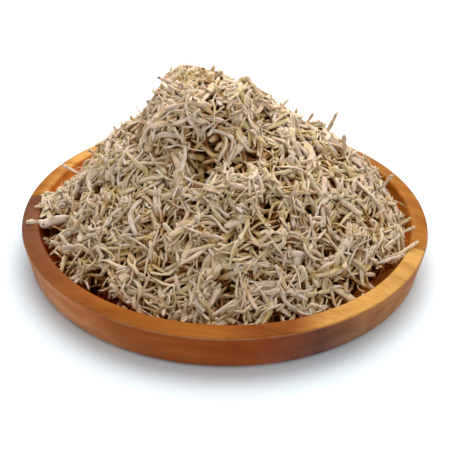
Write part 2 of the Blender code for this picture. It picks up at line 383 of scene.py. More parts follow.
class NodeBuilder:
    """Short calls that add and join the nodes of one material."""

    def __init__(self, name):
        self.material = bpy.data.materials.new(name)
        self.material.use_nodes = True
        self.tree = self.material.node_tree

    def feed(self, socket, value):
        """Set a socket to a number or colour, or join another socket to it."""
        if isinstance(value, bpy.types.NodeSocket):
            self.tree.links.new(value, socket)
        elif socket.type == "RGBA":
            socket.default_value = (*value, 1.0)
        else:
            socket.default_value = value

    def node(self, kind, inputs, **values):
        """A new node with its own values and its inputs."""
        made = self.tree.nodes.new(kind)
        for key, value in values.items():
            setattr(made, key, value)
        for key, value in inputs.items():
            self.feed(made.inputs[key], value)
        return made

    def finish(self, inputs):
        """The material, with its shader's own sockets set or joined."""
        for key, value in inputs.items():
            self.feed(self.tree.nodes["Principled BSDF"].inputs[key], value)
        return self.material

    def math(self, operation, first, second=0.0, third=0.0):
        inputs = {0: first, 1: second, 2: third}
        return self.node("ShaderNodeMath", inputs, operation=operation).outputs[0]

    def both(self, first, second):
        """One mask within another."""
        return self.math("MULTIPLY", first, second)

    def smooth(self, value, low, high, to_low=0.0, to_high=1.0, step="SMOOTHSTEP"):
        """A step of a number between two limits."""
        limits = {"From Min": low, "From Max": high, "To Min": to_low, "To Max": to_high}
        made = self.node("ShaderNodeMapRange", {"Value": value, **limits}, interpolation_type=step)
        return made.outputs["Result"]

    def ramp(self, value, stops):
        """Colours along a number, each stop a number and its colour."""
        low, high = stops[0][0], stops[-1][0]
        made = self.node("ShaderNodeValToRGB", {0: self.smooth(value, low, high, step="LINEAR")})
        points = made.color_ramp.elements
        for place, colour in stops[1:-1]:
            points.new((place - low) / (high - low)).color = (*colour, 1.0)
        points[0].color = (*stops[0][1], 1.0)
        points[len(points) - 1].color = (*stops[-1][1], 1.0)
        return made.outputs[0]

    def mix(self, share, first, second, blend="MIX"):
        inputs = {"Factor": share, 6: first, 7: second}
        made = self.node("ShaderNodeMix", inputs, data_type="RGBA", blend_type=blend)
        return made.outputs[2]

    def lay(self, base, colour, value, start, full, most=1.0):
        """A colour over another, from where a number starts to count to where it does in full."""
        return self.mix(self.smooth(value, start, full, 0.0, most), base, colour)

    def stain(self, base, factors, value, start, full, most=1.0):
        """A colour multiplied in the same way."""
        return self.mix(self.smooth(value, start, full, 0.0, most), base, factors, "MULTIPLY")

    def noise(self, place, detail, rough, distortion=0.0):
        inputs = {"Vector": place, "Scale": 1.0, "Detail": detail}
        inputs.update({"Roughness": rough, "Distortion": distortion})
        return self.node("ShaderNodeTexNoise", inputs).outputs["Fac"]

    def place(self, turn=0.0, stretch=(1.0, 1.0, 1.0), shift=(0.0, 0.0, 0.0)):
        """Object coordinates, shifted, then turned about Z and stretched."""
        source = self.node("ShaderNodeTexCoord", {}).outputs["Object"]
        inputs = {"Vector": source, "Rotation": (0.0, 0.0, turn), "Location": shift}
        turned = self.node("ShaderNodeMapping", inputs, vector_type="TEXTURE").outputs[0]
        scaled = self.node("ShaderNodeVectorMath", {0: turned, 1: stretch}, operation="MULTIPLY")
        return scaled.outputs["Vector"]

    def grain(self, stretch, detail, rough, distortion=0.0, turn=0.0, shift=(0.0, 0.0, 0.0)):
        """Noise over the object, the finer the more it is stretched."""
        return self.noise(self.place(turn, stretch, shift), detail, rough, distortion)

    def parts(self, vector):
        return self.node("ShaderNodeSeparateXYZ", {0: vector}).outputs

    def bump(self, height, strength, distance, under=None):
        inputs = {"Strength": strength, "Distance": distance, "Height": height}
        if under is not None:
            inputs["Normal"] = under
        return self.node("ShaderNodeBump", inputs).outputs["Normal"]


def finish_with(piece, material):
    """Give a piece its one material."""
    piece.data.materials.clear()
    piece.data.materials.append(material)


def tinted(colour, factors):
    """A colour with each of its parts times a factor."""
    return tuple(part * factor for part, factor in zip(colour, factors))


def oiled_wood():
    """Two glued boards with grain along them, pores, a seam and a worn edge."""
    settings = plate_settings()
    names = ("honey", "amber", "chestnut", "copper", "russet_and_shade")
    honey, amber, chestnut, copper, russet_and_shade = (tuple(getattr(settings, name)) for name in names)
    dusky, rosy = (tinted(chestnut, f) for f in ((0.82, 0.84, 0.92), (1.10, 0.96, 0.68)))
    gold, pale = (tinted(honey, f) for f in ((1.08, 1.08, 1.08), (1.04, 1.12, 1.25)))
    tawny = tinted(amber, (1.50, 1.90, 3.00))
    turn, seam_line = settings.grain_turn, settings.seam_offset

    wood = NodeBuilder("oiled_wood")
    across = wood.parts(wood.place(turn))
    level = wood.parts(wood.place())
    height = level["Z"]
    flat = wood.place(stretch=(1.0, 1.0, 0.0))
    outward = wood.node("ShaderNodeVectorMath", {0: flat}, operation="LENGTH").outputs["Value"]
    figure = wood.grain((5.0, 55.0, 70.0), 4.0, 0.6, 0.6, turn)
    streaks = wood.grain((22.0, 520.0, 620.0), 3.0, 0.6, 0.3, turn)
    pores = wood.grain((140.0, 2600.0, 2600.0), 2.0, 0.5, 0.0, turn)
    clouds = wood.grain((9.0, 14.0, 20.0), 2.0, 0.5, 0.0, turn, (0.3, 0.1, 0.0))
    wear = wood.grain((160.0, 160.0, 160.0), 2.0, 0.55)

    # The two boards, by distance along their grain, then their clouds and figure
    front = wood.ramp(across["X"], (
        (-0.125, dusky), (-0.095, rosy), (-0.052, amber), (-0.032, tawny), (0.022, tawny),
        (0.044, amber), (0.062, amber), (0.079, honey), (0.110, pale), (0.125, pale),
    ))
    behind = wood.ramp(across["X"], (
        (-0.125, copper), (-0.121, copper), (-0.112, gold), (-0.082, gold), (-0.030, honey),
        (0.060, copper), (0.125, copper),
    ))
    base = wood.mix(wood.smooth(across["Y"], seam_line - 0.0002, seam_line + 0.0002), front, behind)
    base = wood.lay(base, amber, clouds, 0.45, 0.72, 0.22)
    dark = wood.mix(1.0, base, (0.62, 0.50, 0.42), "MULTIPLY")
    base = wood.lay(base, dark, figure, 0.44, 0.66, 0.62)
    base = wood.lay(base, dark, streaks, 0.50, 0.70, 0.50)
    base = wood.stain(base, (1.22, 1.28, 1.40), figure, 0.44, 0.30, 0.85)

    # The outer wall, in tones of russet along the grain, partly its wood and partly painted light:
    # painted shade darkens it under the lip, the pale band on its left is a painted reflection of
    # the floor, and it is paler towards its foot
    outside = wood.ramp(across["X"], tuple((x, tinted(russet_and_shade, tone)) for x, tone in (
        (-0.122, (0.85, 1.05, 1.7)), (-0.092, (2.25, 4.0, 7.6)), (0.0, (1.62, 1.85, 1.7)),
        (0.040, (1.48, 1.52, 1.3)), (0.077, (0.68, 1.05, 4.0)), (0.107, (1.8, 3.5, 6.0)),
        (0.120, (2.0, 3.3, 4.4)),
    )))
    outside = wood.stain(outside, (0.6, 0.5, 0.45), figure, 0.44, 0.66, 0.55)
    outside = wood.stain(outside, (1.30, 1.40, 1.50), figure, 0.46, 0.32, 0.85)
    # Paler and bluer towards the foot: a painted reflection of the floor
    outside = wood.stain(outside, (1.14, 1.40, 2.10), height, 0.017, 0.006)
    wall = wood.both(
        wood.smooth(height, PLATE_HEIGHT - 0.0022, PLATE_HEIGHT - 0.0032),
        wood.smooth(outward, PLATE_RADIUS - 0.010, PLATE_RADIUS - 0.006),
    )
    base = wood.mix(wall, base, outside)

    # The lip's outer edge, patchy as if worn: a painted highlight at the front that turns into
    # painted shade on the right and behind
    edge = wood.both(
        wood.smooth(outward, PLATE_RADIUS - 0.0007, PLATE_RADIUS - 0.0003),
        wood.smooth(height, PLATE_HEIGHT - 0.0036, PLATE_HEIGHT - 0.0028),
    )
    edge = wood.both(edge, wood.smooth(wear, 0.25, 0.6, 0.15, 0.6))
    line = wood.lay((0.40, 0.175, 0.085), (0.30, 0.110, 0.045), level["X"], 0.010, 0.060)
    line = wood.lay(line, (0.085, 0.042, 0.024), level["Y"], -0.045, 0.010)
    base = wood.mix(edge, base, line)

    # Inside the lip, painted bounce light that warms and brightens the wood; then the seam and two
    # small knots
    painted_bounce_light = wood.lay((1.90, 0.85, 0.34), (1.60, 1.15, 0.62), level["X"], -0.09, 0.05)
    lip_inner = PLATE_RADIUS - LIP_WIDTH
    base = wood.stain(base, painted_bounce_light, outward, lip_inner + 0.0010, lip_inner - 0.0015)
    seam = wood.math("ABSOLUTE", wood.math("SUBTRACT", across["Y"], seam_line))
    base = wood.mix(wood.smooth(seam, 0.0001, 0.0005, 0.55, 0.0), base, (0.10, 0.035, 0.015))
    for x, y, size in ((0.0856, -0.0887, 0.0009), (0.0901, -0.0851, 0.0007)):
        ends = {0: wood.place(), 1: (x, y, PLATE_HEIGHT - 0.001)}
        away = wood.node("ShaderNodeVectorMath", ends, operation="DISTANCE").outputs["Value"]
        knot = wood.smooth(away, size * 0.5, size, 0.85, 0.0)
        base = wood.mix(knot, base, (0.14, 0.05, 0.02))
    return wood.finish({
        "Base Color": base,
        "Roughness": wood.smooth(figure, 0.3, 0.8, 0.42, 0.56),
        "Specular IOR Level": 0.06,
        "Normal": wood.bump(streaks, 0.25, 0.0002, wood.bump(pores, 0.22, 0.00012)),
    })


def dried_skin(kind, colour):
    """Dry fish skin: a darker back, a silvery belly, a small dark eye and fine creases."""
    skin = NodeBuilder("dried_skin_" + kind)
    place, chance = (
        skin.parts(skin.node("ShaderNodeAttribute", {}, attribute_name=name).outputs["Vector"])
        for name in ("body", "lot")
    )
    along, dorsal, lateral = place["X"], place["Y"], place["Z"]
    tone, trait, shade = chance["X"], chance["Y"], chance["Z"]
    height = skin.parts(skin.place())["Z"]
    pale = tuple(min(1.0, part + 0.04) for part in tinted(colour, (1.03, 1.08, 1.14)))
    deep = tinted(colour, (0.68, 0.60, 0.42))
    mottle = skin.grain((520.0, 520.0, 520.0), 3.0, 0.6)
    lights = skin.grain((330.0, 330.0, 330.0), 2.0, 0.5, shift=(0.02, 0.05, 0.01))
    stains = skin.grain((120.0, 120.0, 120.0), 2.0, 0.6, shift=(0.04, 0.01, 0.03))
    creases = skin.grain((1500.0, 1500.0, 1500.0), 2.0, 0.6)
    threads = skin.node("ShaderNodeCombineXYZ", {
        0: skin.math("MULTIPLY", along, 5.0),
        1: skin.math("MULTIPLY_ADD", dorsal, 2.6, skin.math("MULTIPLY", tone, 90.0)),
        2: skin.math("MULTIPLY_ADD", lateral, 2.6, skin.math("MULTIPLY", trait, 90.0)),
    })
    fibres = skin.noise(threads.outputs[0], 3.0, 0.6, 0.4)

    # Coats over the whole body: what each goes by, where it starts and is full, how strong, colour
    base = skin.mix(skin.smooth(tone, 0.0, 0.4, 0.35, 1.0), deep, colour)
    for value, start, full, most, coat in (
        (tone, 0.5, 1.0, 0.8, pale),
        (mottle, 0.45, 0.72, 0.45, deep),
        (lights, 0.54, 0.70, 0.55, pale),
        (stains, 0.52, 0.66, 0.55, (0.41, 0.325, 0.130)),
        (stains, 0.46, 0.33, 0.46, (0.66, 0.545, 0.475)),
        (fibres, 0.52, 0.72, 0.42, deep),
        (fibres, 0.46, 0.30, 0.36, pale),
    ):
        base = skin.lay(base, coat, value, start, full, most)

    # Back, belly, gut, head and tail fin
    back = skin.both(skin.smooth(dorsal, 0.55, 0.98), skin.smooth(trait, 0.1, 0.8, 0.1, 0.45))
    belly = skin.both(skin.smooth(dorsal, -0.15, -0.85), skin.smooth(trait, 0.9, 0.3, 0.0, 0.5))
    gut = skin.both(skin.smooth(along, 0.20, 0.27), skin.smooth(along, 0.46, 0.36))
    gut = skin.both(gut, skin.smooth(dorsal, 0.1, -0.5))
    gut = skin.both(gut, skin.smooth(trait, 0.55, 0.8, 0.0, 0.6))
    for mask, coat in (
        (back, (0.29, 0.21, 0.10)),
        (belly, (0.62, 0.54, 0.46)),
        (gut, (0.24, 0.155, 0.065)),
        (skin.smooth(along, 0.21, 0.17, 0.0, 0.30), (0.56, 0.46, 0.36)),
        (skin.smooth(along, 0.93, 0.99, 0.0, 0.5), (0.56, 0.42, 0.24)),
    ):
        base = skin.mix(mask, base, coat)

    # Painted light: paler high on the heap, where more light falls; painted shade: browner deep
    # between the fish
    for factors, value, start, full in (
        ((1.03, 1.02, 1.01), height, 0.070, 0.105),
        ((0.96, 0.79, 0.50), shade, 0.05, 0.60),
        ((0.39, 0.205, 0.075), shade, 0.45, 1.0),
    ):
        base = skin.stain(base, factors, value, start, full)

    # Eyes on some of the fish, larger on a few
    ahead = skin.math("MULTIPLY", skin.math("SUBTRACT", along, EYE_PLACE), 16.0)
    tall = skin.smooth(trait, 0.965, 0.975, 1.15, 0.75)
    aside = skin.both(skin.math("SUBTRACT", dorsal, 0.12), tall)
    away = skin.math("ADD", skin.both(ahead, ahead), skin.both(aside, aside))
    away = skin.both(away, skin.smooth(trait, 0.965, 0.975, 1.0, 0.32))
    seen = skin.smooth(trait, 0.84, 0.88)
    for reach, coat in (
        (skin.smooth(away, 0.20, 0.36, 0.30, 0.0), (0.55, 0.49, 0.42)),
        (skin.smooth(away, 0.07, 0.16, 0.95, 0.0), (0.020, 0.015, 0.014)),
    ):
        base = skin.mix(skin.both(seen, reach), base, coat)
    return skin.finish({
        "Base Color": base,
        "Roughness": skin.smooth(mottle, 0.3, 0.7, 0.42, 0.66),
        "Specular IOR Level": 0.22,
        "Subsurface Weight": 0.45,
        "Subsurface Radius": (1.0, 0.6, 0.35),
        "Subsurface Scale": 0.0020,
        "Normal": skin.bump(creases, 0.20, 0.00020, skin.bump(fibres, 0.30, 0.00030)),
    })


def shaded_bed():
    """Painted shade deep between the fish: a dark sheet with crumbs in its surface."""
    colour = tuple(heap_settings().painted_shade_colour)
    bed = NodeBuilder("shaded_bed")
    crumbs = bed.grain((260.0, 900.0, 500.0), 3.0, 0.6, 1.5, 0.6)
    dark, lit = tinted(colour, (0.5, 0.5, 0.5)), tinted(colour, (2.0, 2.0, 2.0))
    return bed.finish({
        "Base Color": bed.lay(dark, lit, crumbs, 0.42, 0.66),
        "Roughness": 0.8,
        "Normal": bed.bump(crumbs, 0.8, 0.0008),
    })


def arc(centre, radii, start, end, steps):
    """Points on an elliptical arc, angles in degrees from +X towards +Z."""
    angles = np.radians(np.linspace(start, end, steps + 1))
    return [
        (centre[0] + radii[0] * math.cos(a), 0.0, centre[1] + radii[1] * math.sin(a))
        for a in angles
    ]


def plate_profile():
    """Half outline of the plate, from the floor's middle over the lip to the base."""
    lip_inner = PLATE_RADIUS - LIP_WIDTH
    cove_height = PLATE_HEIGHT - LIP_EASE - FLOOR_THICKNESS
    cove = (lip_inner - COVE_WIDTH, FLOOR_THICKNESS + cove_height)
    lip_round = 0.0015
    edge = (PLATE_RADIUS - lip_round, PLATE_HEIGHT - LIP_FALL - lip_round)
    lean = (PLATE_RADIUS - WALL_LEAN - BASE_RADIUS, BASE_ROUND)
    points = [(r, 0.0, FLOOR_THICKNESS) for r in np.linspace(0.0, cove[0] - 0.004, 12)]
    points += arc(cove, (COVE_WIDTH, cove_height), -90, 0, 14)
    points += arc((lip_inner + LIP_EASE, PLATE_HEIGHT - LIP_EASE), (LIP_EASE, LIP_EASE), 165, 90, 6)
    lip_start = lip_inner + LIP_EASE
    for share in (0.25, 0.5, 0.75):
        radius = lip_start + (edge[0] - lip_start) * share
        points.append((radius, 0.0, PLATE_HEIGHT - LIP_FALL * share ** 1.3))
    points += arc(edge, (lip_round, lip_round), 90, 0, 6)
    foot_x = BASE_RADIUS + lean[0]
    for share in (0.2, 0.4, 0.6, 0.8):
        radius = PLATE_RADIUS + (foot_x - PLATE_RADIUS) * share
        points.append((radius, 0.0, edge[1] + (BASE_ROUND - edge[1]) * share))
    points += arc((BASE_RADIUS, BASE_ROUND), lean, 0, -90, 8)
    points += [(r, 0.0, 0.0) for r in np.linspace(BASE_RADIUS - 0.004, 0.0, 10)]
    return points


class ANCHOVY_OT_turn_plate(bpy.types.Operator):
    """Turn the wooden plate"""

    bl_idname = "anchovy.turn_plate"
    bl_label = "Turn the Plate"

    def execute(self, context):
        points = plate_profile()
        mesh = bpy.data.meshes.new("turned_plate")
        mesh.from_pydata(points, [(i, i + 1) for i in range(len(points) - 1)], [])
        plate = bpy.data.objects.new("turned_plate", mesh)
        context.scene.collection.objects.link(plate)
        turn = plate.modifiers.new("Turn", "SCREW")
        turn.angle = math.tau
        turn.steps = plate_settings().segments
        turn.render_steps = turn.steps
        turn.use_merge_vertices = True
        turn.merge_threshold = 0.00005
        turn.use_smooth_shade = True
        depsgraph = context.evaluated_depsgraph_get()
        turned = bpy.data.meshes.new_from_object(plate.evaluated_get(depsgraph))
        plate.modifiers.clear()
        plate.data = turned
        finish_with(plate, oiled_wood())
        add_to_part(plate, "plate")
        return {"FINISHED"}


def unit(vectors):
    return vectors / np.linalg.norm(vectors, axis=-1, keepdims=True)


def soft_max(first, second, width):
    near = np.maximum(width - np.abs(first - second), 0.0) / width
    return np.maximum(first, second) + near * near * width / 4


def heap_height(x, y):
    """Height of the heap's even form over the plate's underside."""
    shift = BELL_SHIFT * (1 - np.minimum(1.0, np.hypot(x, y) / FOOT_RADIUS) ** 3)
    height = FOOT_HEIGHT + BELL_RISE * (1 - ((x - shift) ** 2 + y * y) / FOOT_RADIUS ** 2)
    for mid_x, mid_y, reach_x, reach_y, fall, top, power in MOUNDS:
        away = np.hypot((x - mid_x) / reach_x, (y - mid_y) / reach_y)
        height = soft_max(height, top - fall * away ** power, MOUND_BLEND)
    for mid_x, mid_y, reach, drop in DIPS:
        away = np.hypot(x - mid_x, y - mid_y) / reach
        height = height - drop * np.exp(-DIP_SHARPNESS * away * away)
    return height


def foot_radius(angle):
    """Distance of the heap's foot from the plate's axis in each direction."""
    radius = np.full_like(angle, FOOT_RADIUS + FOOT_SPREAD)
    for middle, half, change in FOOT_SWELLS:
        turn = np.degrees(angle) - middle
        turn = (turn + 180) % 360 - 180
        radius += change * np.exp(-(turn / half) ** 2)
    return radius


def read_cell(table, i, j, u, v):
    """A table's value at shares u and v across a cell, wrapped round at the table's edges."""
    rows, columns = table.shape
    i, after_i, j, after_j = i % rows, (i + 1) % rows, j % columns, (j + 1) % columns
    low = table[i, j] * (1 - u) + table[after_i, j] * u
    high = table[i, after_j] * (1 - u) + table[after_i, after_j] * u
    return low * (1 - v) + high * v


def lumps(x, y, size, seed):
    """Smooth noise from -1 to 1 over the plan."""
    table = np.random.default_rng(seed).uniform(-1, 1, (64, 64))
    u, v = x / size + 32.0, y / size + 32.0
    i, j = np.floor(u).astype(int), np.floor(v).astype(int)
    u, v = u - i, v - j
    return read_cell(table, i, j, u * u * (3 - 2 * u), v * v * (3 - 2 * v))


def hollows_behind():
    """Hollows of the sides and back, where the named ones leave off."""
    random = np.random.default_rng(21)
    found = []
    while len(found) < HOLLOWS_BEHIND:
        x, y = random.uniform(-0.105, 0.105, 2)
        if math.hypot(x, y) < BEHIND_RADIUS and (y > BEHIND_FROM or abs(x) > BESIDE_FROM):
            found.append((x, y, random.uniform(0.0038, 0.0056), random.uniform(0.006, 0.010)))
    return tuple(found)


class HeapForm:
    """The heap's uneven surface, kept on a grid for quick reading."""

    def __init__(self):
        settings = heap_settings()
        line = np.linspace(-FIELD_REACH, FIELD_REACH, FIELD_CELLS)
        self.step = line[1] - line[0]
        x, y = np.meshgrid(line, line, indexing="ij")
        size = settings.relief_size
        relief = lumps(x, y, size, 3) + 0.90 * lumps(x, y, size * 0.48, 4)
        self.height = heap_height(x, y) + settings.relief * relief
        for mid_x, mid_y, reach, drop in HOLLOWS + hollows_behind():
            away = ((x - mid_x) ** 2 + (y - mid_y) ** 2) / reach ** 2
            self.height -= drop * np.exp(-away * HOLLOW_SHARPNESS)
        self.slope_x, self.slope_y = np.gradient(self.height, self.step)

    def read(self, x, y):
        """Height and outward unit normal under points of the plan."""
        u = np.clip((x + FIELD_REACH) / self.step, 0, FIELD_CELLS - 1.001)
        v = np.clip((y + FIELD_REACH) / self.step, 0, FIELD_CELLS - 1.001)
        i, j = u.astype(int), v.astype(int)
        u, v = u - i, v - j
        tables = (self.height, self.slope_x, self.slope_y)
        height, slope_x, slope_y = (read_cell(table, i, j, u, v) for table in tables)
        return height, unit(np.stack([-slope_x, -slope_y, np.ones_like(height)], -1))

    def depth(self, points):
        """Signed distance out of the heap's surface, and the outward normal."""
        height, normal = self.read(points[..., 0], points[..., 1])
        return (points[..., 2] - height) * normal[..., 2], normal

    def under(self, plan, depth):
        """Points at some depth under places in plan, and the outward normals there."""
        height, normal = self.read(plan[:, 0], plan[:, 1])
        return np.concatenate([plan, height[:, None]], 1) - normal * depth[:, None], normal


def plate_inside(radius):
    """Height and outward slope of the plate's upper surface."""
    lip_inner = PLATE_RADIUS - LIP_WIDTH
    start = lip_inner - COVE_WIDTH
    share = np.clip((radius - start) / COVE_WIDTH, 0.0, 0.999)
    cove_height = PLATE_HEIGHT - LIP_EASE - FLOOR_THICKNESS
    height = FLOOR_THICKNESS + cove_height * (1 - np.sqrt(1 - share * share))
    slope = cove_height / COVE_WIDTH * share / np.sqrt(1 - share * share)
    on_lip = radius >= lip_inner
    return np.where(on_lip, PLATE_HEIGHT, height), np.where(on_lip, 0.0, np.minimum(slope, 6.0))


def spine_shapes(random, lengths):
    """Curved spines in their own frame: arcs, hooks and small loops, some with a kink."""
    count = len(lengths)
    steps = SPINE_POINTS - 1
    middle = (np.arange(steps) + 0.5) / steps - 0.5
    sort = random.random(count)
    side = random.choice((-1.0, 1.0), count)
    bend = random.normal(0.0, BEND, count)
    bend = np.where(sort > HOOKED_FROM, side * np.radians(random.uniform(45, 95, count)), bend)
    bend = np.where(sort > LOOPED_FROM, side * np.radians(random.uniform(110, 190, count)), bend)
    wave = random.normal(0.0, WAVE, count)
    kink = random.normal(0.0, KINK, count)
    place = random.uniform(-0.3, 0.35, count)
    heading = bend[:, None] * middle + wave[:, None] * np.sin(math.tau * middle * 1.1)
    beyond = middle > place[:, None]
    heading += kink[:, None] * beyond
    lift = random.normal(0.0, LIFT, count)[:, None] * np.sin(math.pi * middle * 2)
    lift += random.normal(0.0, KINK_LIFT, count)[:, None] * beyond
    step, level = (lengths / steps)[:, None], np.cos(lift)
    moves = np.stack([np.cos(heading) * level, np.sin(heading) * level, np.sin(lift)], -1)
    points = np.concatenate([np.zeros((count, 1, 3)), np.cumsum(moves * step[..., None], 1)], 1)
    points -= points.mean(1, keepdims=True)
    spread = np.linalg.svd(points)[2]
    return np.einsum("nkj,nij->nki", points, spread)


def spread_over(random, form, count):
    """Places in plan, even over the heap's surface."""
    found = np.empty((0, 2))
    while len(found) < count:
        angle = random.uniform(0, math.tau, count)
        radius = foot_radius(angle) * np.sqrt(random.random(count))
        x, y = radius * np.cos(angle), radius * np.sin(angle)
        upright = form.read(x, y)[1][:, 2]
        keep = random.random(count) < 0.42 / upright.clip(0.42, 1.0)
        found = np.concatenate([found, np.stack([x, y], -1)[keep]])
    return found[:count]


def frames_along(along, normal):
    """Axes of each fish: along it, across it, and out of the heap."""
    side = unit(np.cross(normal, along))
    return np.stack([along, side, np.cross(along, side)], -1)


class Shoal:
    """Fish and bits on their way to rest: sizes, stiff shapes, spines and ceilings."""

    def __init__(self, random, form):
        settings = fish_settings()
        fish, count = settings.count, settings.count + settings.bits
        self.grow(random, settings, fish, count)
        self.shapes = spine_shapes(random, self.lengths)
        plan = spread_over(random, form, count)
        share = random.random(count) ** DEPTH_BIAS
        share[fish:] *= 0.5
        self.depth = LEAST_DEPTH + share * (heap_settings().bed_depth - BED_MARGIN)
        middle, normal = form.under(plan, self.depth)
        along = self.headings(random, plan, normal)

        tilt = random.normal(0.0, TILT, count)
        out = (random.random(count) < STICK_OUT_SHARE) & (self.depth < STICK_OUT_DEPTH)
        out[fish:] = False
        raised = random.uniform(0.0010, 0.0042, count)
        steep = random.choice((-1.0, 1.0), count) * np.radians(random.uniform(16, 48, count))
        tilt = np.where(out, steep, tilt)
        along = along * np.cos(tilt)[:, None] + normal * np.sin(tilt)[:, None]
        frames = frames_along(along, normal)
        roll = random.normal(0.0, ROLL, count)
        cos, sin = np.cos(roll), np.sin(roll)
        zero, one = np.zeros(count), np.ones(count)
        spin = np.stack([one, zero, zero, zero, cos, -sin, zero, sin, cos], -1).reshape(count, 3, 3)
        self.spines = middle[:, None] + np.einsum("nij,njl,nkl->nki", frames, spin, self.shapes)
        self.set_ceilings(random, tilt, out, raised)

    def grow(self, random, settings, fish, count):
        """Lengths, heights and thicknesses, those of the bits after those of the fish."""
        span = settings.longest - settings.shortest
        self.lengths = settings.shortest + span * random.beta(2.6, 2.2, count)
        self.lengths[fish:] = random.uniform(0.0032, 0.0075, count - fish)
        size = np.exp(random.normal(0.0, settings.height_spread, count)).clip(0.64, 1.80)
        self.heights = settings.height * size
        self.heights[:fish] *= (self.lengths[:fish] / MIDDLING_LENGTH) ** 0.4
        self.heights[fish:] *= random.uniform(0.45, 0.95, count - fish)
        spread = random.normal(1.0, 0.12, count).clip(0.7, 1.35)
        self.thins = settings.thinness * size ** -0.6 * spread
        self.half = self.heights * (1 + self.thins) / 4

    def headings(self, random, plan, normal):
        """Directions in the heap's surface: with the flow, up or down the hill, or by chance."""
        count = len(plan)
        along = random.normal(size=(count, 3))
        currents = lumps(plan[:, 0], plan[:, 1], FLOW_SIZE, 6)
        drift = math.pi * (currents + 0.16 * random.normal(size=count))
        led = (random.random(count) < FLOW_SHARE) * random.choice((-1.0, 1.0), count)
        along[:, 0] += FLOW_PULL * led * np.cos(drift)
        along[:, 1] += FLOW_PULL * led * np.sin(drift)
        downhill = normal * normal[:, 2:] - np.array([0.0, 0.0, 1.0])
        fallen = (random.random(count) < DOWNHILL_SHARE) * random.choice((-1.0, 1.0), count)
        along += DOWNHILL_PULL * fallen[:, None] * downhill
        return unit(along - normal * (along * normal).sum(1, keepdims=True))

    def set_ceilings(self, random, tilt, out, raised):
        """How far each point may rise over the surface, further at one end of some fish."""
        ends = np.linspace(0, 1, SPINE_POINTS) ** 1.5
        ends = np.where(tilt[:, None] > 0, ends, ends[::-1]) * raised[:, None]
        self.ceiling = np.repeat(-0.3 * self.half[:, None], SPINE_POINTS, axis=1)
        self.ceiling += random.normal(0.0, 0.0009, len(tilt)).clip(-0.002, 0.0018)[:, None]
        self.ceiling[out] += ends[out]


def stray_spines(random):
    """Spines of the fish that stand out of the outline, rooted in the heap."""
    share = np.linspace(0, 1, SPINE_POINTS)[:, None]
    spines, heights = [], []
    for *ends, height in STRAYS:
        root, tip = np.array(ends[:3]), np.array(ends[3:])
        away = (tip - root) / np.linalg.norm(tip - root)
        inward = np.array([-root[0] * 0.4, -root[1] * 0.4, -0.012])
        start = root - (away - inward / np.linalg.norm(inward) * 0.6) * STRAY_ROOT
        side = np.cross(away, random.normal(size=3))
        bow = side / np.linalg.norm(side) * random.uniform(0.0005, 0.0014)
        lower = start + (root - start) * (share * 2).clip(0, 1)
        upper = (tip - root) * (share * 2 - 1).clip(0, 1)
        spine = lower + upper + bow * np.sin(math.pi * share) ** 2
        spines.append(spine[::-1] if height > HEAD_OUT else spine)
        heights.append(height)
    return np.array(spines), np.array(heights)


def nearby_segments(middles, owners, reach):
    """Pairs of segments of different fish whose middles lie within reach."""
    cell = np.floor((middles - middles.min(0)) / reach).astype(np.int64) + 1
    size = cell.max(0) + 2
    key = (cell[:, 0] * size[1] + cell[:, 1]) * size[2] + cell[:, 2]
    order = np.argsort(key, kind="stable")
    ranked = key[order]
    firsts, seconds = [], []
    for dx, dy, dz in product((-1, 0, 1), repeat=3):
        offset = (dx * size[1] + dy) * size[2] + dz
        if offset < 0:
            continue
        start = np.searchsorted(ranked, key + offset, "left")
        stop = np.searchsorted(ranked, key + offset, "right")
        counts = stop - start
        first = np.repeat(np.arange(len(key)), counts)
        shift = np.arange(counts.sum()) - np.repeat(np.cumsum(counts) - counts, counts)
        second = order[np.repeat(start, counts) + shift]
        keep = owners[first] != owners[second]
        if offset == 0:
            keep &= first < second
        first, second = first[keep], second[keep]
        gap = middles[first] - middles[second]
        close = (gap * gap).sum(1) < reach * reach
        firsts.append(first[close])
        seconds.append(second[close])
    return np.concatenate(firsts), np.concatenate(seconds)


def closest_on_segments(a0, a1, b0, b1):
    """Shares along two sets of segments at their closest points."""
    u, v, w = a1 - a0, b1 - b0, a0 - b0
    uu, uv, vv = (u * u).sum(1), (u * v).sum(1), (v * v).sum(1)
    uw, vw = (u * w).sum(1), (v * w).sum(1)
    spread = np.maximum(uu * vv - uv * uv, 1e-18)
    s = np.clip((uv * vw - vv * uw) / spread, 0, 1)
    t = np.clip((uv * s + vw) / np.maximum(vv, 1e-18), 0, 1)
    s = np.clip((uv * t - uw) / np.maximum(uu, 1e-18), 0, 1)
    return s, t


def push_apart(points, low, high, firsts, seconds, radii):
    """Move overlapping fish apart, each contact shared between its two fish."""
    a0, a1 = points[low[firsts]], points[high[firsts]]
    b0, b1 = points[low[seconds]], points[high[seconds]]
    s, t = closest_on_segments(a0, a1, b0, b1)
    gap = a0 + (a1 - a0) * s[:, None] - b0 - (b1 - b0) * t[:, None]
    distance = np.linalg.norm(gap, axis=1)
    reach = radii[firsts] + radii[seconds]
    hit = distance < reach
    if not hit.any():
        return distance - reach
    first, second, s_hit, t_hit = firsts[hit], seconds[hit], s[hit], t[hit]
    push = gap[hit] / np.maximum(distance[hit], 1e-7)[:, None]
    push = push * (reach[hit] - distance[hit])[:, None]
    nodes = np.concatenate([low[first], high[first], low[second], high[second]])
    shares = np.concatenate([1 - s_hit, s_hit, -(1 - t_hit), -t_hit])
    moves = np.concatenate([push] * 4) * shares[:, None] * PUSH_FIRMNESS
    weights = np.bincount(nodes, np.abs(shares), len(points))
    for axis in range(3):
        total = np.bincount(nodes, moves[:, axis], len(points))
        points[:, axis] += total / np.maximum(weights, 1.0)
    return distance - reach


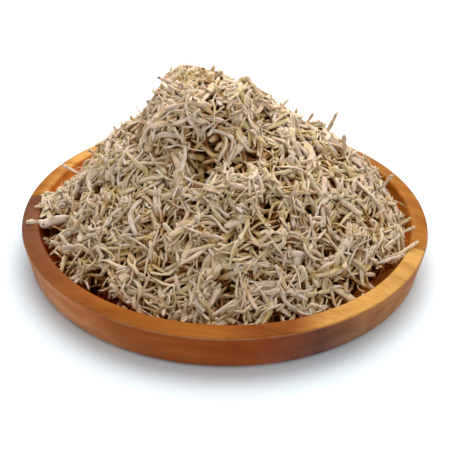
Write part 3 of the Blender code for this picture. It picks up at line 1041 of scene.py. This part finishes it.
def hold_shapes(spines, shapes, firmness):
    """Draw each fish back towards its own stiff curve."""
    middle = spines.mean(1, keepdims=True)
    spread = np.einsum("nki,nkj->nij", spines - middle, shapes)
    left, _, right = np.linalg.svd(spread)
    flip = np.sign(np.linalg.det(left @ right))
    left[:, :, 2] *= flip[:, None]
    goal = middle + np.einsum("nij,nkj->nki", left @ right, shapes)
    return spines + (goal - spines) * firmness


def keep_in_bed(spines, radii, ceiling, form):
    """Hold the fish between the core and the heap's surface, and clear of the plate."""
    depth, normal = form.depth(spines)
    over = np.maximum(depth - ceiling, 0.0)
    under = np.maximum(-heap_settings().bed_depth + radii - depth, 0.0)
    spines += normal * (under - over * 0.7)[..., None]
    radius = np.hypot(spines[..., 0], spines[..., 1])
    height, slope = plate_inside(radius + radii * 0.7)
    sunk = np.maximum(height + radii - spines[..., 2], 0.0)
    scale = sunk / (1 + slope * slope)
    inward = scale * slope / np.maximum(radius, 1e-6)
    spines[..., 0] -= spines[..., 0] * inward
    spines[..., 1] -= spines[..., 1] * inward
    spines[..., 2] += scale


def settle(shoal, form, fixed, fixed_half):
    """Let the fish come to lie on each other inside the bed, round the strays that stay put."""
    loose = len(shoal.spines)
    count = loose + len(fixed)
    spines = np.concatenate([shoal.spines, fixed])
    half = np.concatenate([shoal.half, fixed_half])
    node = np.arange(count * SPINE_POINTS).reshape(count, SPINE_POINTS)
    low, high = node[:, :-1].ravel(), node[:, 1:].ravel()
    owners = np.repeat(np.arange(count), SPINE_POINTS - 1)
    radii = (CONTACT_SHARE * half[:, None] * SEGMENT_GIRTH).ravel()
    node_radii = shoal.half[:, None] * POINT_GIRTH
    spans = np.linalg.norm(np.diff(spines, axis=1), axis=2)
    reach = float(spans.max() + 2 * half.max())
    for step in range(fish_settings().settle_steps):
        points = spines.reshape(-1, 3)
        if step % STEPS_PER_SEARCH == 0:
            middles = (points[low] + points[high]) / 2
            first, second = nearby_segments(middles, owners, reach)
            clearance = push_apart(points.copy(), low, high, first, second, radii)
            near = clearance < NEAR_BODY
            first, second = first[near], second[near]
        push_apart(points, low, high, first, second, radii)
        spines = points.reshape(count, SPINE_POINTS, 3)
        moved = hold_shapes(spines[:loose], shoal.shapes, SHAPE_FIRMNESS)
        moved -= form.depth(moved)[1] * heap_settings().sinking
        keep_in_bed(moved, node_radii, shoal.ceiling, form)
        spines = np.concatenate([moved, fixed])
    return hold_shapes(spines[:loose], shoal.shapes, LAST_FIRMNESS)


def smooth_spine(spines, shares):
    """Points and directions on a smooth curve through each spine."""
    before, after = 2 * spines[:, :1] - spines[:, 1:2], 2 * spines[:, -1:] - spines[:, -2:-1]
    ends = np.concatenate([before, spines, after], 1)
    place = np.clip(shares * (SPINE_POINTS - 1), 0, SPINE_POINTS - 1 - 1e-6)
    span = place.astype(int)
    t = (place - span)[None, :, None]
    p0, p1, p2, p3 = (ends[:, span + k] for k in range(4))
    square, cube = 2 * p0 - 5 * p1 + 4 * p2 - p3, 3 * p1 - p0 - 3 * p2 + p3
    points = 0.5 * (2 * p1 + (p2 - p0) * t + square * t ** 2 + cube * t ** 3)
    return points, unit(0.5 * ((p2 - p0) + 2 * square * t + 3 * cube * t ** 2))


def body_frames(spines, course, thins, random, facing):
    """Directions of back and flank along each body, by chance or, for the last, to the front."""
    middle = spines.mean(1, keepdims=True)
    _, _, axes = np.linalg.svd(spines - middle)
    plane = np.repeat(axes[:, 2][:, None], course.shape[1], axis=1)
    rolled = len(spines) - facing
    plane[rolled:] = FRONT
    flank = plane - course * (plane * course).sum(-1, keepdims=True)
    flank /= np.maximum(np.linalg.norm(flank, axis=-1, keepdims=True), 1e-9)
    back = np.cross(course, flank)
    count = len(spines)
    roll = random.normal(0.0, BODY_ROLL, count) + math.pi * random.integers(0, 2, count)
    roll += np.where((random.random(count) < 0.16) & (thins > 0.60), math.pi / 2, 0.0)
    roll[rolled:] = 0.0
    twist = random.normal(0.0, BODY_ROLL, count)[:, None]
    turn = (roll[:, None] + twist * np.linspace(-0.5, 0.5, course.shape[1]))[..., None]
    cos, sin = np.cos(turn), np.sin(turn)
    return back * cos + flank * sin, flank * cos - back * sin


def fish_bodies(random, heights, thins, spines, stations, sides, facing=0):
    """Points of all bodies, and for each its place along, up and across the body."""
    stations = np.array(stations)
    points, course = smooth_spine(spines, stations[:, 0])
    back, flank = body_frames(spines, course, thins, random, facing)
    count, rings = len(heights), len(stations)
    half = heights[:, None] / 2
    tall = half * stations[:, 1] * (1 + 0.11 * random.normal(size=(count, rings)))
    wide = half * thins[:, None] * stations[:, 2] * (1 + 0.12 * random.normal(size=(count, rings)))
    tall[:, -1] *= random.uniform(0.3, 1.2, count)
    angle = math.tau * np.arange(sides) / sides
    dorsal, lateral = np.cos(angle), np.sin(angle)
    groove = random.uniform(0.05, 0.70, (count, 1))
    groove = groove * random.uniform(0.5, 1.0, (count, rings))
    shrink = 1 - groove[..., None] * np.abs(lateral) ** 6
    shrink *= 1 + 0.07 * random.normal(size=(count, rings, sides))
    ring = back[:, :, None] * (tall[..., None] * dorsal * shrink)[..., None]
    ring = ring + flank[:, :, None] * (wide[..., None] * lateral * shrink)[..., None]
    shares = np.empty((count, rings, sides, 3))
    shares[..., 0] = stations[:, 0][:, None]
    shares[..., 1] = dorsal
    shares[..., 2] = lateral
    return points[:, :, None] + ring, shares


def body_faces(rings, sides):
    """Faces between the rings of one body."""
    faces = []
    for ring in range(rings - 1):
        for k in range(sides):
            after = (k + 1) % sides
            low, high = ring * sides, (ring + 1) * sides
            faces.append((low + k, low + after, high + after, high + k))
    return np.array(faces)


def skin_cells(mesh, count, bands, sides, along):
    """A UV cell for each body, its length across the cell and its girth up it."""
    columns = math.ceil(math.sqrt(count / 3.2))
    rows = math.ceil(count / columns)
    girth = (bands[:, [0, 1, 1, 0]] % sides).astype(float)
    girth[:, 1:3] = girth[:, :1] + 1
    local = np.stack([0.03 + 0.94 * along[bands], 0.05 + 0.90 * girth / sides], -1)
    body = np.arange(count)
    corner = np.stack([body % columns, body // columns], -1)
    cells = (corner[:, None, None] + local[None]) / np.array([columns, rows])
    corners = np.repeat(cells[:, 0, 0], 2 * sides, axis=0)
    uv = mesh.uv_layers.new(name="OFBake")
    uv.data.foreach_set("uv", np.concatenate([cells.reshape(-1, 2), corners]).ravel())


def lay_bodies(name, bodies, shares, chance, depth, material):
    """One mesh of many bodies, with the shares, chances and painted shade that their skin is
    coloured by.
    """
    count, rings, sides = bodies.shape[:3]
    size = rings * sides
    bands = body_faces(rings, sides)
    caps = np.array([tuple(reversed(range(sides))), tuple(range(size - sides, size))])
    starts = (np.arange(count) * size)[:, None, None]
    quads = (bands[None] + starts).reshape(-1, 4)
    ends = (caps[None] + starts).reshape(-1, sides)
    piece = mesh_object(name, bodies.reshape(-1, 3).tolist(), quads.tolist() + ends.tolist())
    lots_and_shade = np.empty((count, size, 3))
    lots_and_shade[..., :2] = chance[:, None]
    # The third part of each lot is the painted shade of the point
    lots_and_shade[..., 2] = depth.reshape(count, size)
    for title, values in (("body", shares), ("lot", lots_and_shade)):
        attribute = piece.data.attributes.new(title, "FLOAT_VECTOR", "POINT")
        attribute.data.foreach_set("vector", values.ravel())
    skin_cells(piece.data, count, bands, sides, shares[0, :, :, 0].ravel())
    finish_with(piece, material)
    add_to_part(piece, "anchovy_heap")


class Cover:
    """The topmost fish over each cell of the plan, which shade those below."""

    def __init__(self, form, groups):
        self.form = form
        self.top = np.full((FIELD_CELLS, FIELD_CELLS), -heap_settings().bed_depth)
        for bodies in groups:
            points = bodies.reshape(-1, 3)
            height = np.minimum(form.depth(points)[0], COVER_TOP)
            np.maximum.at(self.top, self.cells(points), height)
        for axis in (0, 1, 0, 1):
            beside = [np.roll(self.top, shift, axis) for shift in (1, -1)]
            self.top = np.maximum.reduce([self.top, *beside])

    def cells(self, points):
        place = ((points[..., :2] + FIELD_REACH) / self.form.step).round().astype(int)
        place = place.clip(0, FIELD_CELLS - 1)
        return place[..., 0], place[..., 1]

    def shade(self, bodies):
        """How shaded each point is, from 0 in the open to 1 deep between the fish."""
        out, normal = self.form.depth(bodies)
        x, y, z = bodies[..., 0], bodies[..., 1], bodies[..., 2]
        sunk = (heap_height(x, y) - z) * normal[..., 2] - OPEN_DEPTH
        covered = self.top[self.cells(bodies)] - out - OPEN_COVER
        return np.clip(np.maximum(sunk, 0) / DARK_DEPTH + np.maximum(covered, 0) / DARK_COVER, 0, 1)


class ANCHOVY_OT_pack_core(bpy.types.Operator):
    """Pack the shaded core under the loose fish"""

    bl_idname = "anchovy.pack_core"
    bl_label = "Pack the Core"

    def execute(self, context):
        form = HeapForm()
        depth = heap_settings().bed_depth
        rings, segments = CORE_RINGS, CORE_SEGMENTS
        angle = math.tau * np.arange(segments) / segments
        foot = (foot_radius(angle) - CORE_INSET).clip(0, CORE_REACH)
        radius = np.linspace(0.0, 1.0, rings + 1)[1:, None] * foot
        x, y = radius * np.cos(angle), radius * np.sin(angle)
        surface, normal = form.read(x, y)
        height = surface - depth / normal[..., 2]
        height += CORE_UNEVEN * lumps(x, y, CORE_LUMP, 9)
        floor = plate_inside(radius + CORE_OFF_PLATE)[0] + CORE_OFF_PLATE
        height = np.maximum(height, floor + CORE_SKIN)
        top = np.stack([x, y, height], -1).reshape(-1, 3)
        under = [
            (r * math.cos(a), r * math.sin(a), float(plate_inside(r)[0]) + CORE_SKIN)
            for inner in (foot, foot * 0.5) for r, a in zip(inner, angle)
        ]
        middle = (0.0, 0.0, float(form.read(np.zeros(1), np.zeros(1))[0][0] - depth))
        points = [middle, *map(tuple, top), *under, (0.0, 0.0, FLOOR_THICKNESS + CORE_SKIN)]
        bands = np.roll(body_faces(rings + 2, segments)[:, ::-1], 1, axis=1) + 1
        last = 1 + (rings + 1) * segments
        caps = []
        for k in range(segments):
            after = (k + 1) % segments
            caps += [(0, 1 + k, 1 + after), (last + k, len(points) - 1, last + after)]
        core = mesh_object("heap_core", points, bands.tolist() + caps)
        finish_with(core, shaded_bed())
        add_to_part(core, "anchovy_heap")
        return {"FINISHED"}


class ANCHOVY_OT_lay_fish(bpy.types.Operator):
    """Settle the anchovies on the heap, one piece for each kind"""

    bl_idname = "anchovy.lay_fish"
    bl_label = "Lay the Anchovies"

    def execute(self, context):
        settings = fish_settings()
        random = np.random.default_rng(settings.seed)
        form = HeapForm()
        shoal = Shoal(random, form)
        fixed, fixed_heights = stray_spines(random)
        fixed_thins = np.full(len(fixed), settings.thinness)
        spines = settle(shoal, form, fixed, fixed_heights * (1 + fixed_thins) / 4)
        whole = np.arange(len(spines)) < settings.count
        lower = whole & (shoal.depth > settings.top_layer)
        too_high = spines[..., 2].max(1) + shoal.half > SUMMIT_LIMIT
        upper = whole & ~lower & ~too_high
        heights = np.concatenate([shoal.heights[upper], fixed_heights])
        thins = np.concatenate([shoal.thins[upper], fixed_thins])
        fish = np.concatenate([spines[upper], fixed])
        bodies, shares = fish_bodies(
            random, heights, thins, fish, BODY_STATIONS, BODY_SIDES, len(fixed)
        )
        (below, below_shares), (bits, bit_shares) = (
            fish_bodies(
                random, shoal.heights[chosen], shoal.thins[chosen], spines[chosen], stations, sides
            )
            for chosen, stations, sides in (
                (lower, LOWER_STATIONS, LOWER_SIDES), (~whole, BIT_STATIONS, BIT_SIDES)
            )
        )
        bit_shares[..., 0] = MIDDLE_START + MIDDLE_SPAN * bit_shares[..., 0]

        cover = Cover(form, (bodies, below, bits))
        shade = cover.shade(bodies)
        chance = random.random((len(heights), 2))
        kinds = random.choice(len(KINDS), len(heights), p=KIND_SHARES)
        self.dress_strays(fixed, fixed_heights, chance[-len(fixed):], kinds[-len(fixed):])
        for number, kind in enumerate(KINDS):
            chosen = kinds == number
            skin = dried_skin(kind, tuple(getattr(settings, kind)))
            groups = (values[chosen] for values in (bodies, shares, chance, shade))
            lay_bodies("anchovies_" + kind, *groups, skin)
        for name, group, places, colour in (
            ("anchovies_below", below, below_shares, settings.straw),
            ("broken_bits", bits, bit_shares, settings.cream),
        ):
            skin, chance = dried_skin(name, tuple(colour)), random.random((len(group), 2))
            lay_bodies(name, group, places, chance, cover.shade(group), skin)
        return {"FINISHED"}

    def dress_strays(self, spines, heights, chance, kinds):
        """Pale skins by turns, and an eye on each whole fish, larger on those high up."""
        high = (spines[:, 0, 2] > HIGH_UP) & (spines[:, 0, 0] < HIGH_SIDE)
        chance[:, 0] = 0.8
        chance[:, 1] = np.where(heights > HEAD_OUT, np.where(high, 0.99, 0.90), 0.2)
        kinds[0::2] = KINDS.index("silver")
        kinds[1::2] = KINDS.index("cream")


class ANCHOVY_OT_strew_strands(bpy.types.Operator):
    """Strew fine loose strands over the heap"""

    bl_idname = "anchovy.strew_strands"
    bl_label = "Strew the Strands"

    def execute(self, context):
        random = np.random.default_rng(fish_settings().seed + 1)
        form = HeapForm()
        count = fish_settings().strands
        plan = spread_over(random, form, count)
        root, normal = form.under(plan, random.uniform(0.001, 0.004, count))
        lengths = random.uniform(0.006, 0.014, count)
        along = random.normal(size=(count, 3))
        along = unit(along - normal * (along * normal).sum(1, keepdims=True))
        along = unit(along + normal * random.uniform(-0.15, 0.40, (count, 1)))
        shapes = spine_shapes(random, lengths)
        shapes -= shapes[:, :1]
        shapes *= np.sign(shapes[:, -1:, :1])
        spines = root[:, None] + np.einsum("nij,nkj->nki", frames_along(along, normal), shapes)
        heights, thins = random.uniform(0.0005, 0.0011, count), np.full(count, 0.8)
        strands, shares = fish_bodies(
            random, heights, thins, spines, STRAND_STATIONS, STRAND_SIDES
        )
        shares[..., 0] = MIDDLE_START + MIDDLE_SPAN * shares[..., 0]
        depth = Cover(form, ()).shade(strands)
        skin = dried_skin("strands", tuple(fish_settings().straw))
        lay_bodies("fine_strands", strands, shares, random.random((count, 2)), depth, skin)
        return {"FINISHED"}


class ANCHOVY_OT_set_stage(bpy.types.Operator):
    """Set the floor, the soft light and the camera"""

    bl_idname = "anchovy.set_stage"
    bl_label = "Set the Stage"

    def execute(self, context):
        settings = stage_settings()
        scene = context.scene
        corners = [(-3, -3, 0), (3, -3, 0), (3, 3, 0), (-3, 3, 0)]
        floor = mesh_object("floor", corners, [(0, 1, 2, 3)])
        floor.location.z = -0.0002
        paper = {"Base Color": (0.806, 0.882, 0.926), "Roughness": 0.9}
        finish_with(floor, NodeBuilder("studio_paper").finish(paper))
        self.light("key", settings.key_power, 0.74, (0.015, 0.22, 0.50))
        self.light("fill", settings.fill_power, 1.2, (0.75, -1.0, 0.75))
        world = bpy.data.worlds.new("even_light")
        world.use_nodes = True
        sky = world.node_tree.nodes["Background"].inputs
        sky["Color"].default_value = (1, 1, 1, 1)
        sky["Strength"].default_value = settings.sky
        scene.world = world
        scene.view_settings.view_transform = "Standard"
        lens = bpy.data.cameras.new("camera")
        lens.lens = settings.lens
        lens.sensor_width = 36.0
        camera = bpy.data.objects.new("camera", lens)
        scene.collection.objects.link(camera)
        level = Matrix.Rotation(math.pi / 2 - settings.camera_tilt, 4, "X")
        roll = Matrix.Rotation(settings.camera_roll, 4, "Z")
        place = Vector((settings.camera_x, settings.camera_y, settings.camera_z))
        camera.matrix_world = Matrix.Translation(place) @ level @ roll
        scene.camera = camera
        return {"FINISHED"}

    def light(self, name, power, size, place):
        """A round soft light that looks at the middle of the heap."""
        lamp = bpy.data.lights.new(name, "AREA")
        lamp.energy = power
        lamp.shape = "DISK"
        lamp.size = size
        made = bpy.data.objects.new(name, lamp)
        bpy.context.scene.collection.objects.link(made)
        made.location = place
        away = Vector(LIT_POINT) - Vector(place)
        made.rotation_euler = away.to_track_quat("-Z", "Y").to_euler()


class ANCHOVY_PT_panel(bpy.types.Panel):
    """Buttons and settings of the dish"""

    bl_label = "Anchovy Dish"
    bl_idname = "ANCHOVY_PT_panel"
    bl_space_type = "VIEW_3D"
    bl_region_type = "UI"
    bl_category = "Anchovy Dish"

    def draw(self, context):
        for operator in OPERATORS:
            self.layout.operator(operator.bl_idname)
        for name in ("anchovy_plate", "anchovy_heap", "anchovy_fish", "anchovy_stage"):
            group = getattr(context.scene, name)
            box = self.layout.box()
            for key in group.__annotations__:
                box.prop(group, key)


OPERATORS = (
    ANCHOVY_OT_turn_plate,
    ANCHOVY_OT_pack_core,
    ANCHOVY_OT_lay_fish,
    ANCHOVY_OT_strew_strands,
    ANCHOVY_OT_set_stage,
)
SETTINGS = {
    "anchovy_plate": PlateSettings,
    "anchovy_heap": HeapSettings,
    "anchovy_fish": FishSettings,
    "anchovy_stage": StageSettings,
}


def register():
    for group in SETTINGS.values():
        bpy.utils.register_class(group)
    for operator in OPERATORS:
        bpy.utils.register_class(operator)
    bpy.utils.register_class(ANCHOVY_PT_panel)
    for name, group in SETTINGS.items():
        setattr(bpy.types.Scene, name, PointerProperty(type=group))


def unregister():
    for name in SETTINGS:
        delattr(bpy.types.Scene, name)
    bpy.utils.unregister_class(ANCHOVY_PT_panel)
    for operator in reversed(OPERATORS):
        bpy.utils.unregister_class(operator)
    for group in reversed(SETTINGS.values()):
        bpy.utils.unregister_class(group)


def main():
    register()
    bpy.ops.anchovy.turn_plate()
    bpy.ops.anchovy.pack_core()
    bpy.ops.anchovy.lay_fish()
    bpy.ops.anchovy.strew_strands()
    bpy.ops.anchovy.set_stage()


if __name__ == "__main__":
    main()
